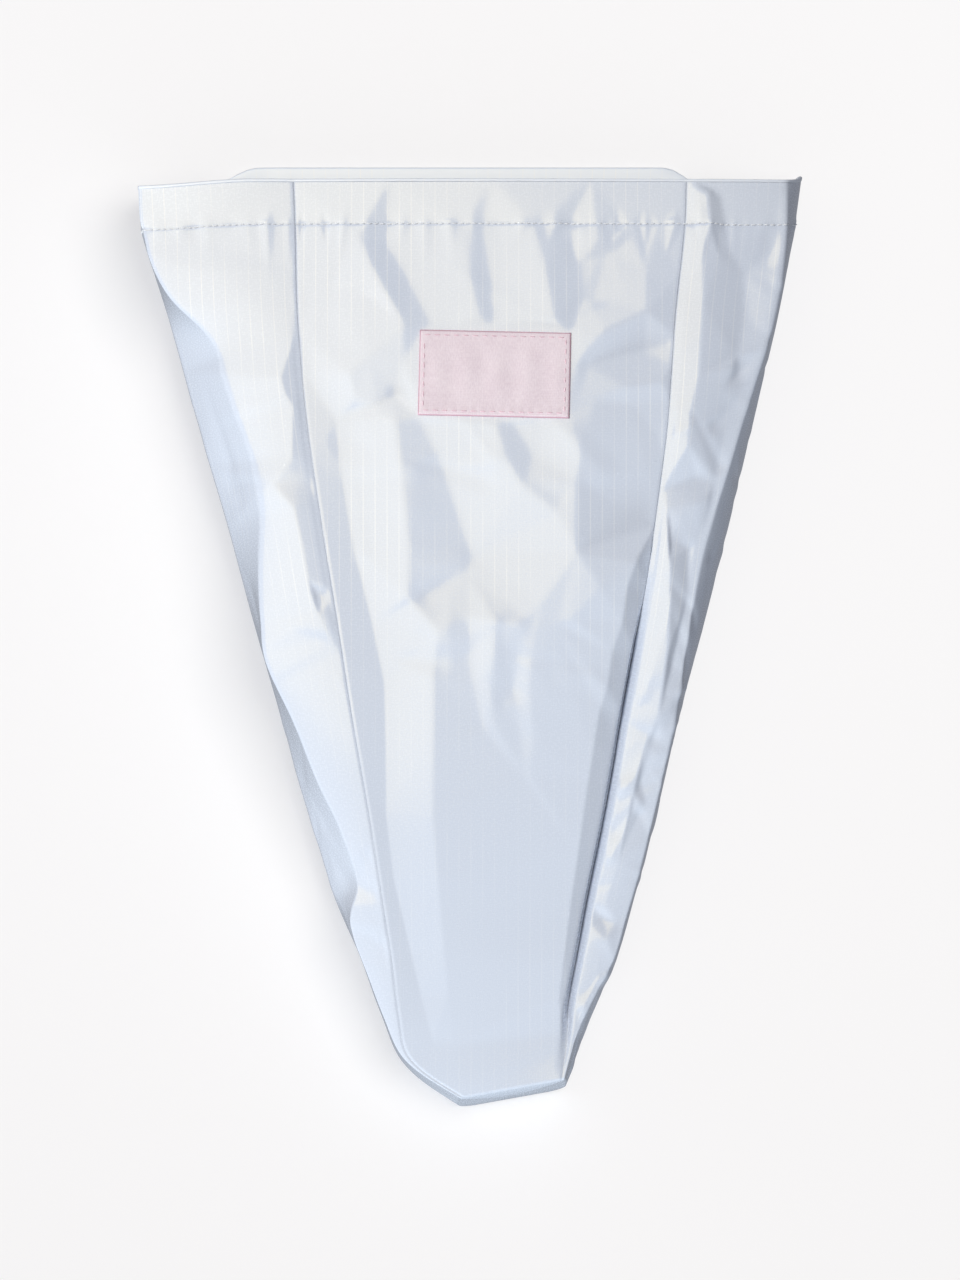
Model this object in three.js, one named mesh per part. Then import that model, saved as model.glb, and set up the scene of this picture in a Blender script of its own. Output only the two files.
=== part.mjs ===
// The sack of a bicycle saddle bag, sewn from light ripstop cloth. It lies on its back with its
// open mouth towards +Y, its narrow base towards -Y and its front panel facing up.
// Millimetres, +Z up. The origin is on the ground, under the middle of the bag.

import * as THREE from "three";

// Cloth and joins
const CLOTH = 1.2;
const HEM_CLOTH = 1.0;
const SEWN_GAP = 0.3;
const HEM_DEPTH = 23;

// The back stands out beyond the front at both ends. At the mouth it does so by an overhang,
// which is gone at the rim's height. At the base it follows a flat slant: a lean moves a point
// along the bag for each millimetre below the base's height, and a skew for each millimetre to
// the right of its middle. Each end's slant fades out over its reach.
const RIM_OVERHANG = 11.5;
const RIM_HEIGHT = 66;
const RIM_REACH = 110;
const BASE_LEAN = 0.25;
const BASE_HEIGHT = 30;
const BASE_SKEW = 0.18;
const BASE_MIDDLE = 21;
const BASE_REACH = 70;

// Form of the panels between their seams
const CREST_START = 0.06;
const CREST_PLACE = 0.27;
const CROWN_RIGHT_POWER = 6;
const RIGHT_STRIP = 10;
const STRIP_FROM = 120;
const STRIP_FULL = 190;
const BACK_SEAM_SHARE = 0.9;
const BACK_TUCK = 9;
const EDGE_PULL = 0.6;
const UNDER_PULL = 0.55;
const FACET_SWELL_SHARE = 0.06;
const RIDGE_PLACE = 4 / 12;
const EDGE_PLACE = 7 / 12;
const FOLD_EDGE_FADE = 12;

// Facets
const ROWS_IN_HEM = 2;
const ROWS_BELOW_HEM = 36;
const FRONT_COLUMNS = 24;
const SIDE_COLUMNS = 12;
const BACK_COLUMNS = 4;
const NORMAL_STEP = 0.5;
const ROUND_STEP = 0.04;
const SEAM_STEP = 0.02;

// One row for each section of the bag, from the rim to the base.
// along: distance from the rim. Edges are the widest places of the two sides, and seams join the
// sides to the front panel, both measured to the right of the middle. Rises are heights above
// the ground. crown: the front panel's height above its seams.
const SECTIONS = [
  {
    along: 0, leftEdge: -166.5, leftSeam: -88, rightSeam: 107, rightEdge: 166.5,
    leftRise: 60, rightRise: 60, crown: 8, edgeRise: 24,
  },
  {
    along: 23, leftEdge: -164.5, leftSeam: -87, rightSeam: 106, rightEdge: 163,
    leftRise: 62, rightRise: 62, crown: 9, edgeRise: 25,
  },
  {
    along: 70, leftEdge: -151, leftSeam: -85.5, rightSeam: 101, rightEdge: 153.5,
    leftRise: 68, rightRise: 64, crown: 10, edgeRise: 27,
  },
  {
    along: 120, leftEdge: -137.5, leftSeam: -81, rightSeam: 97.5, rightEdge: 141.5,
    leftRise: 71, rightRise: 64, crown: 10, edgeRise: 28,
  },
  {
    along: 169, leftEdge: -123, leftSeam: -74, rightSeam: 91.5, rightEdge: 130,
    leftRise: 71, rightRise: 60, crown: 10, edgeRise: 28,
  },
  {
    along: 219, leftEdge: -109.5, leftSeam: -66, rightSeam: 85, rightEdge: 117.5,
    leftRise: 69, rightRise: 54, crown: 9, edgeRise: 27,
  },
  {
    along: 268, leftEdge: -95.5, leftSeam: -58.5, rightSeam: 76.5, rightEdge: 104.5,
    leftRise: 65, rightRise: 48, crown: 8, edgeRise: 25,
  },
  {
    along: 318, leftEdge: -81.5, leftSeam: -50, rightSeam: 68, rightEdge: 93,
    leftRise: 58, rightRise: 42, crown: 7, edgeRise: 22,
  },
  {
    along: 358, leftEdge: -69, leftSeam: -44, rightSeam: 60, rightEdge: 82.5,
    leftRise: 51, rightRise: 37.5, crown: 6, edgeRise: 19,
  },
  {
    along: 388, leftEdge: -56, leftSeam: -39.5, rightSeam: 54.5, rightEdge: 74,
    leftRise: 45, rightRise: 34.5, crown: 5, edgeRise: 17,
  },
  {
    along: 414, leftEdge: -44.5, leftSeam: -36, rightSeam: 50, rightEdge: 63.5,
    leftRise: 39, rightRise: 32, crown: 4, edgeRise: 15,
  },
  {
    along: 432, leftEdge: -34, leftSeam: -30.5, rightSeam: 48.5, rightEdge: 56,
    leftRise: 34, rightRise: 31, crown: 3, edgeRise: 13,
  },
  {
    along: 454, leftEdge: -6.5, leftSeam: -3.5, rightSeam: 45.5, rightEdge: 48,
    leftRise: 29, rightRise: 30, crown: 2, edgeRise: 11,
  },
];

// A ridge runs down each side. Shares say how far it lies from the front seam to the widest edge,
// and falls how far it lies below that seam.
const RIDGES = [
  { along: 0, leftShare: 0.92, leftFall: 6, rightShare: 0.72, rightFall: -2 },
  { along: 23, leftShare: 0.92, leftFall: 7, rightShare: 0.72, rightFall: -2 },
  { along: 45, leftShare: 0.9, leftFall: 7, rightShare: 0.74, rightFall: -3 },
  { along: 80, leftShare: 0.58, leftFall: 5.5, rightShare: 0.76, rightFall: -3 },
  { along: 114, leftShare: 0.57, leftFall: 5, rightShare: 0.72, rightFall: -3 },
  { along: 149, leftShare: 0.55, leftFall: 5, rightShare: 0.66, rightFall: -3 },
  { along: 189, leftShare: 0.76, leftFall: 6, rightShare: 0.66, rightFall: -3.5 },
  { along: 221, leftShare: 0.84, leftFall: 6, rightShare: 0.67, rightFall: -4 },
  { along: 240, leftShare: 0.9, leftFall: 6, rightShare: 0.66, rightFall: -4 },
  { along: 270, leftShare: 0.8, leftFall: 5, rightShare: 0.64, rightFall: -4 },
  { along: 300, leftShare: 0.67, leftFall: 4, rightShare: 0.62, rightFall: -4 },
  { along: 323, leftShare: 0.5, leftFall: 3, rightShare: 0.6, rightFall: -4 },
  { along: 350, leftShare: 0.35, leftFall: 2, rightShare: 0.58, rightFall: -3.5 },
  { along: 390, leftShare: 0.5, leftFall: 2, rightShare: 0.55, rightFall: -3 },
  { along: 430, leftShare: 0.5, leftFall: 0.6, rightShare: 0.5, rightFall: -0.8 },
  { along: 454, leftShare: 0.5, leftFall: 0.3, rightShare: 0.5, rightFall: -0.3 },
];

// Creases of the front panel, each from one place to another. A positive height is a ridge and
// a negative one a valley.
const FRONT_FOLDS = [
  {
    name: "beside the left seam", fromX: -52, fromAlong: 189, toX: -34, toAlong: 371,
    halfWidth: 16, height: -5,
  },
  {
    name: "from the label's left corner", fromX: -18, fromAlong: 123, toX: 0, toAlong: 205,
    halfWidth: 18, height: -4,
  },
  {
    name: "fan's right edge", fromX: 50, fromAlong: 125, toX: 63, toAlong: 202,
    halfWidth: 20, height: 3.5,
  },
  {
    name: "fan's lower edge", fromX: 63, fromAlong: 202, toX: 15, toAlong: 221,
    halfWidth: 18, height: 2.5,
  },
  {
    name: "hem to label, left ridge", fromX: -58, fromAlong: 26, toX: -25, toAlong: 75,
    halfWidth: 13, height: 3,
  },
  {
    name: "hem to label, left valley", fromX: -41, fromAlong: 26, toX: -10, toAlong: 74,
    halfWidth: 12, height: -3.5,
  },
  {
    name: "hem to label, middle flute", fromX: 8, fromAlong: 26, toX: 8, toAlong: 74,
    halfWidth: 12, height: -2.5,
  },
  {
    name: "hem to label, right flute", fromX: 47, fromAlong: 27, toX: 44, toAlong: 74,
    halfWidth: 12, height: -2.5,
  },
  {
    name: "label to right seam, ridge", fromX: 53, fromAlong: 77, toX: 90, toAlong: 30,
    halfWidth: 14, height: 3,
  },
  {
    name: "label to right seam, valley", fromX: 58, fromAlong: 86, toX: 96, toAlong: 74,
    halfWidth: 13, height: -3,
  },
  {
    name: "below the label on the right", fromX: 63, fromAlong: 115, toX: 95, toAlong: 130,
    halfWidth: 13, height: -2.5,
  },
  {
    name: "pinch above the base", fromX: 33, fromAlong: 422, toX: 46, toAlong: 408,
    halfWidth: 10, height: -2.5,
  },
];

// Dents of the two side panels. across: 0 at the front seam, 1 at the back seam.
const SIDE_DENTS = [
  { panel: "left", across: 0.12, along: 98, halfWidth: 14, halfLength: 20, depth: 2.5 },
  { panel: "left", across: 0.14, along: 156, halfWidth: 15, halfLength: 22, depth: 3.5 },
  { panel: "left", across: 0.3, along: 290, halfWidth: 12, halfLength: 40, depth: 2 },
  { panel: "right", across: 0.3, along: 62, halfWidth: 16, halfLength: 30, depth: 3.5 },
  { panel: "right", across: 0.38, along: 184, halfWidth: 13, halfLength: 16, depth: 4 },
  { panel: "right", across: 0.28, along: 258, halfWidth: 12, halfLength: 16, depth: 2.5 },
  { panel: "right", across: 0.28, along: 372, halfWidth: 11, halfLength: 16, depth: 3 },
];

// Label, sewn flat on the front panel
const LABEL = { x: 11.7, along: 97.5, width: 74.5, height: 42, turn: 0.023, thickness: 0.9 };
const LABEL_COLUMNS = 10;
const LABEL_ROWS = 6;
const LABEL_BORDER = 6;
const LABEL_CALM = 12;

// Looks
const ripstop = new THREE.MeshStandardMaterial({ color: 0xe4e9f1, roughness: 0.38, metalness: 0 });
const hemCloth = new THREE.MeshStandardMaterial({ color: 0xe9edf3, roughness: 0.42, metalness: 0 });
const labelCloth = new THREE.MeshStandardMaterial({ color: 0xeadfe6, roughness: 0.8, metalness: 0 });

const LENGTH = SECTIONS.at(-1).along;
const PANELS = ["front", "right", "back", "left"];
const COLUMNS = { front: FRONT_COLUMNS, right: SIDE_COLUMNS, back: BACK_COLUMNS, left: SIDE_COLUMNS };

const { smoothstep, lerp, clamp } = THREE.MathUtils;

// The section at any distance from the rim, smoothed through the rows of both tables.
function smoothTable(rows) {
  const names = Object.keys(rows[0]);
  const spline = new THREE.CubicInterpolant(
    rows.map((row) => row.along),
    rows.flatMap((row) => Object.values(row)),
    names.length,
  );
  return (along) => {
    const values = spline.evaluate(along);
    return Object.fromEntries(names.map((name, i) => [name, values[i]]));
  };
}

const seamsAt = smoothTable(SECTIONS);
const ridgesAt = smoothTable(RIDGES);

function sectionAt(along) {
  const place = clamp(along, 0, LENGTH);
  return { ...seamsAt(place), ...ridgesAt(place) };
}

// How far a place on the front panel is lifted by the creases near it.
const foldLines = FRONT_FOLDS.map((fold) => ({
  ...fold,
  line: new THREE.Line3(
    new THREE.Vector3(fold.fromX, fold.fromAlong, 0),
    new THREE.Vector3(fold.toX, fold.toAlong, 0),
  ),
}));

function foldLift(x, along) {
  const place = new THREE.Vector3(x, along, 0);
  const nearest = new THREE.Vector3();
  let lift = 0;
  for (const { line, halfWidth, height } of foldLines) {
    line.closestPointToPoint(place, true, nearest);
    const share = 1 - place.distanceTo(nearest) / halfWidth;
    if (share > 0) lift += height * share * share * (3 - 2 * share);
  }
  return lift * labelCalm(x, along);
}

// 0 under the label, which keeps the cloth flat, rising to 1 a little way outside it.
function labelCalm(x, along) {
  const outsideX = Math.abs(x - LABEL.x) - LABEL.width / 2;
  const outsideAlong = Math.abs(along - LABEL.along) - LABEL.height / 2;
  return smoothstep(Math.max(outsideX, outsideAlong), LABEL_BORDER, LABEL_BORDER + LABEL_CALM);
}

// The front rises to a crest near its left seam. Its right edge is round at the top of the bag,
// and turns into a steep strip lower down.
function frontSection(across, section) {
  const x = lerp(section.leftSeam, section.rightSeam, across);
  const rising = clamp((across - CREST_START) / (CREST_PLACE - CREST_START), 0, 1);
  const round = 1 - Math.abs(2 * across - 1) ** CROWN_RIGHT_POWER;
  const steep = clamp((section.rightSeam - x) / RIGHT_STRIP, 0, 1);
  const falling = lerp(round, steep, smoothstep(section.along, STRIP_FROM, STRIP_FULL));
  const crown = section.crown * (across < CREST_PLACE ? rising : falling);
  const toSeam = Math.min(x - section.leftSeam, section.rightSeam - x);
  const fold = foldLift(x, section.along) * smoothstep(toSeam, 0, FOLD_EDGE_FADE);
  return new THREE.Vector2(x, lerp(section.leftRise, section.rightRise, across) + crown + fold);
}

// The seam between a side and the back lies on the ground, inside that side's widest edge.
function backSeamAt(panel, section) {
  const seam = section[`${panel}Seam`];
  const edge = section[`${panel}Edge`];
  const tuck = Math.max(Math.abs(seam - edge) * BACK_SEAM_SHARE, BACK_TUCK);
  return edge + tuck * Math.sign(seam - edge);
}

// A side runs from its front seam over its ridge to its widest edge, and curls under to its back
// seam.
function sideSection(panel, across, section) {
  const seam = section[`${panel}Seam`];
  const edge = section[`${panel}Edge`];
  const rise = section[`${panel}Rise`];
  const low = section.edgeRise;
  const backSeam = backSeamAt(panel, section);
  const ridgeX = lerp(seam, edge, section[`${panel}Share`]);
  const ridgeRise = rise - section[`${panel}Fall`];
  const swell = FACET_SWELL_SHARE * Math.abs(ridgeX - seam);
  const top = new THREE.QuadraticBezierCurve(
    new THREE.Vector2(seam, rise),
    new THREE.Vector2((seam + ridgeX) / 2, (rise + ridgeRise) / 2 + swell),
    new THREE.Vector2(ridgeX, ridgeRise),
  );
  const steep = new THREE.CubicBezierCurve(
    new THREE.Vector2(ridgeX, ridgeRise),
    new THREE.Vector2(lerp(ridgeX, edge, 0.5), lerp(ridgeRise, low, 0.25)),
    new THREE.Vector2(lerp(ridgeX, edge, 0.9), lerp(ridgeRise, low, 0.6)),
    new THREE.Vector2(edge, low),
  );
  const under = new THREE.CubicBezierCurve(
    new THREE.Vector2(edge, low),
    new THREE.Vector2(edge, low * (1 - EDGE_PULL)),
    new THREE.Vector2(lerp(backSeam, edge, UNDER_PULL), 0),
    new THREE.Vector2(backSeam, 0),
  );
  const stretches = [
    { curve: top, from: 0, to: RIDGE_PLACE },
    { curve: steep, from: RIDGE_PLACE, to: EDGE_PLACE },
    { curve: under, from: EDGE_PLACE, to: 1 },
  ];
  const { curve, from, to } = stretches.find((stretch) => across < stretch.to) ?? stretches.at(-1);
  const t = (across - from) / (to - from);
  const point = curve.getPoint(t);
  const inward = curve.getTangent(t).rotateAround(new THREE.Vector2(), Math.PI / 2);
  if (panel === "right") inward.negate();
  return point.addScaledVector(inward, sideDent(panel, across, section));
}

function sideDent(panel, across, section) {
  const width = Math.abs(section[`${panel}Edge`] - section[`${panel}Seam`]) / EDGE_PLACE;
  let depth = 0;
  for (const dent of SIDE_DENTS) {
    if (dent.panel !== panel) continue;
    const offX = ((across - dent.across) * width) / dent.halfWidth;
    const offAlong = (section.along - dent.along) / dent.halfLength;
    const share = 1 - offX * offX - offAlong * offAlong;
    if (share > 0) depth += dent.depth * share * share;
  }
  return depth * smoothstep(across * width, 0, FOLD_EDGE_FADE);
}

// A place on the outside of the bag. across runs from 0 to 1 over a panel, going round the bag:
// the front left to right, the right side down, the back right to left, the left side up.
function outside(panel, across, along) {
  const section = { ...sectionAt(along), along };
  let flat;
  if (panel === "front") {
    flat = frontSection(across, section);
  } else if (panel === "right") {
    flat = sideSection("right", across, section);
  } else if (panel === "left") {
    flat = sideSection("left", 1 - across, section);
  } else {
    flat = new THREE.Vector2(lerp(backSeamAt("right", section), backSeamAt("left", section), across), 0);
  }
  const mouth = 1 - smoothstep(along, 0, RIM_REACH);
  const base = 1 - smoothstep(LENGTH - along, 0, BASE_REACH);
  const overhang = RIM_OVERHANG * (1 - flat.y / RIM_HEIGHT) ** 2;
  const slant = BASE_LEAN * (flat.y - BASE_HEIGHT) + BASE_SKEW * (flat.x - BASE_MIDDLE);
  return new THREE.Vector3(flat.x, mouth * overhang + base * slant - along, flat.y);
}

// A place a little way round the bag from another, stepping over the seam where it has to.
function roundTheBag(panel, across, along, step) {
  const k = PANELS.indexOf(panel);
  const place = across + step;
  if (place > 1) return outside(PANELS[(k + 1) % 4], place - 1, along);
  if (place < 0) return outside(PANELS[(k + 3) % 4], place + 1, along);
  return outside(panel, place, along);
}

// The direction out of the bag. On a seam it lies half way between the two panels.
function outward(panel, across, along) {
  const ahead = roundTheBag(panel, across, along, ROUND_STEP);
  const round = ahead.sub(roundTheBag(panel, across, along, -ROUND_STEP));
  const nearRim = Math.max(along - NORMAL_STEP, 0);
  const nearBase = Math.min(along + NORMAL_STEP, LENGTH);
  const down = outside(panel, across, nearBase).sub(outside(panel, across, nearRim));
  return down.cross(round).normalize();
}

// A place inside the bag's outer face by a depth, or outside it by a negative one.
function atDepth(panel, across, along, depth) {
  return outside(panel, across, along).addScaledVector(outward(panel, across, along), -depth);
}

function geometryOf(points, triangles) {
  const geometry = new THREE.BufferGeometry().setFromPoints(points);
  geometry.setIndex(triangles);
  geometry.computeVertexNormals();
  return geometry;
}

function quad(triangles, a, b, c, d) {
  triangles.push(a, b, c, a, c, d);
}

// A wall between an outer and an inner grid of points, closed along its four edges.
// Rows of a grid run down the bag and its columns go round it.
function wallGeometry(outer, inner) {
  const rows = outer.length;
  const columns = outer[0].length;
  const out = (j, i) => j * columns + i;
  const inn = (j, i) => rows * columns + out(j, i);
  const triangles = [];
  for (let j = 0; j + 1 < rows; j++) {
    for (let i = 0; i + 1 < columns; i++) {
      quad(triangles, out(j, i), out(j + 1, i), out(j + 1, i + 1), out(j, i + 1));
      quad(triangles, inn(j, i), inn(j, i + 1), inn(j + 1, i + 1), inn(j + 1, i));
    }
    quad(triangles, out(j + 1, 0), out(j, 0), inn(j, 0), inn(j + 1, 0));
    const last = columns - 1;
    quad(triangles, out(j, last), out(j + 1, last), inn(j + 1, last), inn(j, last));
  }
  for (let i = 0; i + 1 < columns; i++) {
    quad(triangles, out(0, i), out(0, i + 1), inn(0, i + 1), inn(0, i));
    quad(triangles, out(rows - 1, i + 1), out(rows - 1, i), inn(rows - 1, i), inn(rows - 1, i + 1));
  }
  return geometryOf([...outer.flat(), ...inner.flat()], triangles);
}

// Distances from the rim of a panel's rows of points, closer together in the hem.
function panelRows() {
  const top = HEM_CLOTH + SEWN_GAP;
  const rows = [];
  for (let j = 0; j < ROWS_IN_HEM; j++) rows.push(lerp(top, HEM_DEPTH, j / ROWS_IN_HEM));
  for (let j = 0; j <= ROWS_BELOW_HEM; j++) rows.push(lerp(HEM_DEPTH, LENGTH, j / ROWS_BELOW_HEM));
  return rows;
}

// The part of a panel's width that leaves half a sewing gap beside one of its seams.
function seamMargin(panel, seam, along) {
  const near = lerp(seam, 0.5, SEAM_STEP);
  const travel = outside(panel, seam, along).distanceTo(outside(panel, near, along));
  return (SEWN_GAP / 2) * (Math.abs(near - seam) / travel);
}

// One panel of cloth. It stops half a sewing gap short of the seams on its two sides.
function panelGeometry(panel) {
  const columns = COLUMNS[panel];
  const grid = (depth) =>
    panelRows().map((along) => {
      const first = seamMargin(panel, 0, along);
      const last = 1 - seamMargin(panel, 1, along);
      return Array.from({ length: columns + 1 }, (_, i) =>
        outside(panel, lerp(first, last, i / columns), along).addScaledVector(
          outward(panel, i / columns, along),
          -depth,
        ),
      );
    });
  return wallGeometry(grid(0), grid(CLOTH));
}

// The hem is turned in at the rim: its fold lies over the panels' top edges, and its inner layer
// hangs down inside them to the line of stitching.
function hemGeometry() {
  const layerOut = CLOTH + SEWN_GAP;
  const layerIn = layerOut + HEM_CLOTH;
  const hemRows = panelRows().slice(1, ROWS_IN_HEM + 1);
  const profile = [
    { depth: 0, along: 0 },
    { depth: 0, along: HEM_CLOTH },
    { depth: layerOut, along: HEM_CLOTH },
    ...hemRows.map((along) => ({ depth: layerOut, along })),
    ...hemRows.toReversed().map((along) => ({ depth: layerIn, along })),
    { depth: layerIn, along: 0 },
  ];
  const points = [];
  for (const panel of PANELS) {
    for (let i = 0; i < COLUMNS[panel]; i++) {
      for (const corner of profile) {
        points.push(atDepth(panel, i / COLUMNS[panel], corner.along, corner.depth));
      }
    }
  }
  const corners = profile.length;
  const stations = points.length / corners;
  const triangles = [];
  for (let s = 0; s < stations; s++) {
    const next = (s + 1) % stations;
    for (let k = 0; k < corners; k++) {
      const after = (k + 1) % corners;
      quad(triangles, s * corners + k, s * corners + after, next * corners + after, next * corners + k);
    }
  }
  return geometryOf(points, triangles);
}

// The base is a flat plate of cloth across the narrow end.
function baseMesh() {
  const sideways = new THREE.Vector3(1, BASE_SKEW, 0).normalize();
  const out = new THREE.Vector3(BASE_SKEW, -1, BASE_LEAN).normalize();
  const up = new THREE.Vector3().crossVectors(out, sideways);
  const start = outside("back", 0.5, LENGTH).addScaledVector(out, SEWN_GAP);
  const outline = PANELS.flatMap((panel) =>
    Array.from({ length: COLUMNS[panel] }, (_, i) => {
      const corner = outside(panel, i / COLUMNS[panel], LENGTH).sub(start);
      return new THREE.Vector2(corner.dot(sideways), corner.dot(up));
    }),
  );
  const shape = new THREE.Shape(outline);
  const plate = new THREE.ExtrudeGeometry(shape, { depth: CLOTH, bevelEnabled: false });
  const mesh = named("base_panel", plate, ripstop);
  mesh.applyMatrix4(new THREE.Matrix4().makeBasis(sideways, up, out).setPosition(start));
  return mesh;
}

// The label follows the front panel, its edges turned a little to the bag's.
function labelGeometry() {
  const grid = (depth) =>
    Array.from({ length: LABEL_ROWS + 1 }, (_, j) =>
      Array.from({ length: LABEL_COLUMNS + 1 }, (_, i) => {
        const place = new THREE.Vector2(
          lerp(-LABEL.width, LABEL.width, i / LABEL_COLUMNS) / 2,
          lerp(-LABEL.height, LABEL.height, j / LABEL_ROWS) / 2,
        ).rotateAround(new THREE.Vector2(), LABEL.turn);
        const along = LABEL.along + place.y;
        const { leftSeam, rightSeam } = sectionAt(along);
        const across = (LABEL.x + place.x - leftSeam) / (rightSeam - leftSeam);
        return atDepth("front", across, along, depth);
      }),
    );
  return wallGeometry(grid(-SEWN_GAP - LABEL.thickness), grid(-SEWN_GAP));
}

function named(name, geometry, material) {
  const mesh = new THREE.Mesh(geometry, material);
  mesh.name = name;
  return mesh;
}

const bag = new THREE.Group();
for (const panel of PANELS) bag.add(named(`${panel}_panel`, panelGeometry(panel), ripstop));
bag.add(named("mouth_hem", hemGeometry(), hemCloth));
bag.add(baseMesh());
bag.add(named("label", labelGeometry(), labelCloth));

// The origin goes under the middle of the bag's box, on the ground.
const box = new THREE.Box3().setFromObject(bag, true);
const middle = box.getCenter(new THREE.Vector3());
bag.position.set(-middle.x, -middle.y, -box.min.z);

const saddleBag = new THREE.Group();
saddleBag.add(bag);

export default saddleBag;
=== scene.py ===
"""A white ripstop saddle bag that lies on its back, seen from straight above."""

import math
from collections import namedtuple

import bpy
import numpy as np
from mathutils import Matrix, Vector
from mathutils.geometry import delaunay_2d_cdt


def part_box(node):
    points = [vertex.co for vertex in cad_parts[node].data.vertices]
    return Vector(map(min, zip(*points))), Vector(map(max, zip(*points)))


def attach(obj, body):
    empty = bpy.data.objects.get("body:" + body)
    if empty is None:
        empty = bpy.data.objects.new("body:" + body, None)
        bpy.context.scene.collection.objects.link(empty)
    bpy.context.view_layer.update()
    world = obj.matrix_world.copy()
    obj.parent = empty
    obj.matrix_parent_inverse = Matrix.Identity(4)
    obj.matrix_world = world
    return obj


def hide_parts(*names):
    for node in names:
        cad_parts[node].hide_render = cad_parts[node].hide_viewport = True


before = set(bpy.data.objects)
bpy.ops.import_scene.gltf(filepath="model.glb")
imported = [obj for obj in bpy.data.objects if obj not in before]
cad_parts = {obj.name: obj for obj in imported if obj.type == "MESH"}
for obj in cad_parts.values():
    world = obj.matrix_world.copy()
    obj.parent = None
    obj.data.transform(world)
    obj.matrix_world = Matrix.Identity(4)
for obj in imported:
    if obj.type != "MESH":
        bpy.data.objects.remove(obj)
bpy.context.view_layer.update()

MM = 0.001

# Sections of the bag from the rim to the base, in millimetres. The rises are the heights of the two
# front seams and of the widest edges.
SECTION_COLUMNS = (
    "along", "left_edge", "left_seam", "right_seam", "right_edge",
    "left_rise", "right_rise", "edge_rise",
)
SECTIONS = np.array([
    (0, -166.5, -88, 107, 166.5, 60, 60, 24),
    (23, -164.5, -87, 106, 163, 62, 64.5, 25),
    (70, -151, -85.5, 101, 153.5, 68, 70.5, 27),
    (120, -137.5, -81, 97.5, 141.5, 71, 70, 28),
    (169, -123, -74, 91.5, 130, 71, 64, 28),
    (219, -109.5, -66, 85, 117.5, 69, 57.5, 27),
    (268, -95.5, -58.5, 76.5, 104.5, 65, 50.5, 25),
    (318, -81.5, -50, 68, 93, 58, 43.5, 22),
    (358, -69, -44, 60, 82.5, 51, 37.5, 19),
    (388, -56, -39.5, 54.5, 74, 45, 34.5, 17),
    (414, -44.5, -36, 50, 63.5, 39, 32, 15),
    (432, -34, -30.5, 48.5, 56, 34, 31, 13),
    (454, -6.5, -3.5, 45.5, 48, 29, 30, 11),
])
LENGTH = SECTIONS[-1, 0]

# Ridges along the two sides. A share is how far the ridge lies from the front seam to the widest
# edge, and a fall is how far it lies below that seam.
RIDGE_COLUMNS = ("along", "left_share", "left_fall", "right_share", "right_fall")
RIDGES = np.array([
    (0, 0.985, 3.5, 0.84, 8),
    (23, 0.985, 4.5, 0.88, 7),
    (45, 0.97, 5.5, 0.92, 7.5),
    (60, 0.90, 6, 0.93, 8.5),
    (80, 0.68, 6, 0.93, 8.5),
    (100, 0.63, 5.4, 0.90, 8.5),
    (114, 0.60, 5, 0.87, 8),
    (149, 0.52, 5, 0.80, 5),
    (165, 0.56, 5, 0.76, 3.8),
    (189, 0.71, 6, 0.72, 2.8),
    (221, 0.88, 6, 0.76, 2.2),
    (240, 0.95, 6, 0.82, 2.0),
    (270, 0.80, 5, 0.90, 1.8),
    (300, 0.67, 4, 0.92, 1.7),
    (323, 0.50, 3, 0.92, 1.6),
    (350, 0.45, 2.5, 0.92, 1.4),
    (372, 0.85, 3.5, 0.90, 1.0),
    (390, 0.92, 3, 0.88, 0.8),
    (430, 0.80, 0.8, 0.60, 0.3),
    (454, 0.50, 0.3, 0.50, 0.3),
])

# Slant of the two ends
RIM_OVERHANG = 11.5
RIM_HEIGHT = 66
RIM_REACH = 110
RIM_LEFT_END = (-140, -108)
RIM_RIGHT_END = (122, 98)
RIM_RIGHT_HEIGHTS = (8, 24)
RIM_LEFT_DIP = 3.0
RIM_DIP_REACH = (-108, -166)
BASE_LEAN = 0.25
BASE_HEIGHT = 30
BASE_SKEW = 0.18
BASE_MIDDLE = 21
BASE_REACH = 70

# Where the front rim lies along +Y
BAG_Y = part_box("mouth_hem")[1].y / MM - RIM_OVERHANG

# Form of the panels between their seams. Places are shares of the way round a side from its front seam.
BACK_SEAM_SHARE = 0.9
BACK_TUCK = 9
EDGE_PULL = 0.6
STEEP_BOW = {"left": 0.1, "right": 1.0}
STEEP_PULLS_OUT = (0.5, 0.9)
STEEP_PULLS_DOWN = (0.25, 0.6)
FACET_SWELL_SHARE = 0.12
RIDGE_PLACE = 4 / 12
UNDER_PULL = 0.55
EDGE_PLACE = 7 / 12
FOLDS_FADE = 0.1

# Cloth, hem and seams. The deep seam is the hollow between the front and the lower right side.
CLOTH = 0.5
HEM_LINE = 22.5
SEAM_TURN = 0.35
SEAM_TURN_WIDTH = 0.8
DEEP_SEAM = 5.5
DEEP_SEAM_STARTS = (185, 245)
DEEP_SEAM_WIDTHS = {"front": 2.4, "right": 1.2}
DEEP_SEAM_END = 40
DEEP_SEAM_SIDE = {"front": 1, "right": 0}
SEAM_CALM = 4.0
END_CALM = 6.0
GROOVE_DEPTH = 0.45
GROOVE_WIDTH = 0.8

# Label on the front panel
LABEL_X = 11.7
LABEL_ALONG = 97.5
LABEL_WIDTH = 74.5
LABEL_HEIGHT = 42.0
LABEL_TURN = 0.023
LABEL_LIFT = 0.45
LABEL_CLOTH = 0.6
LABEL_CALM = (-2, 6)
LABEL_RIM = 0.9

# Creases of the front panel. Each is a line of corners (x, along, lift), where the lift is the height
# above a straight line between the two seams. The cloth lies in flat facets between its creases.
Crease = namedtuple("Crease", "name corners")

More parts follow.
